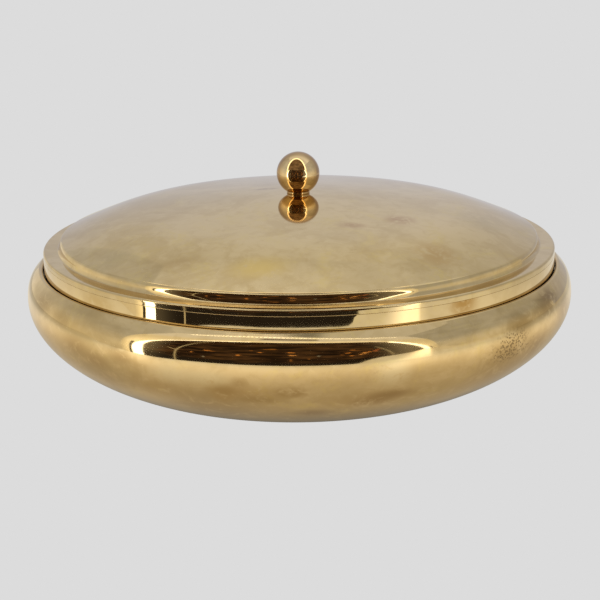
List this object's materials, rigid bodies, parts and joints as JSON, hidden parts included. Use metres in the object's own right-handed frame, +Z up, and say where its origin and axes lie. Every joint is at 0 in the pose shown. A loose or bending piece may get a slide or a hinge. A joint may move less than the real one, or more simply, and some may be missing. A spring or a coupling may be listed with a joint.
{
  "type": "ciborium vessel",
  "caption": "Wide low brass bowl for altar breads with a shallow domed lift-off cover, upright rim and small ball knob.",
  "frame": {"origin": "centre of the plane the bowl stands on", "axes": "+Z up along the axis of revolution, towards the knob; X and Y are equivalent"},
  "size_m": [0.19, 0.19, 0.076],
  "materials": {
    "bowl_brass": "polished brass, handled, faint concentric polishing marks and pitting",
    "collar_brass": "polished brass, slightly rubbed by the cover",
    "cover_brass": "polished brass with faint tarnish stains",
    "rim_brass": "polished brass",
    "knob_brass": "polished brass, warmer tone",
    "fixing_brass": "turned brass, unpolished"
  },
  "bodies": {
    "bowl": {"bowl_shell": "bowl_brass", "mouth_collar": "collar_brass"},
    "cover": {"cover_dome": "cover_brass", "cover_rim_band": "rim_brass", "knob_ball": "knob_brass", "knob_stud": "fixing_brass", "knob_washer": "fixing_brass", "knob_nut": "fixing_brass"}
  },
  "joints": [
    {"name": "cover_lift", "type": "slide", "parent": "bowl", "child": "cover", "axis": [0, 0, 1], "range_m": [0, 0.045]}
  ]
}
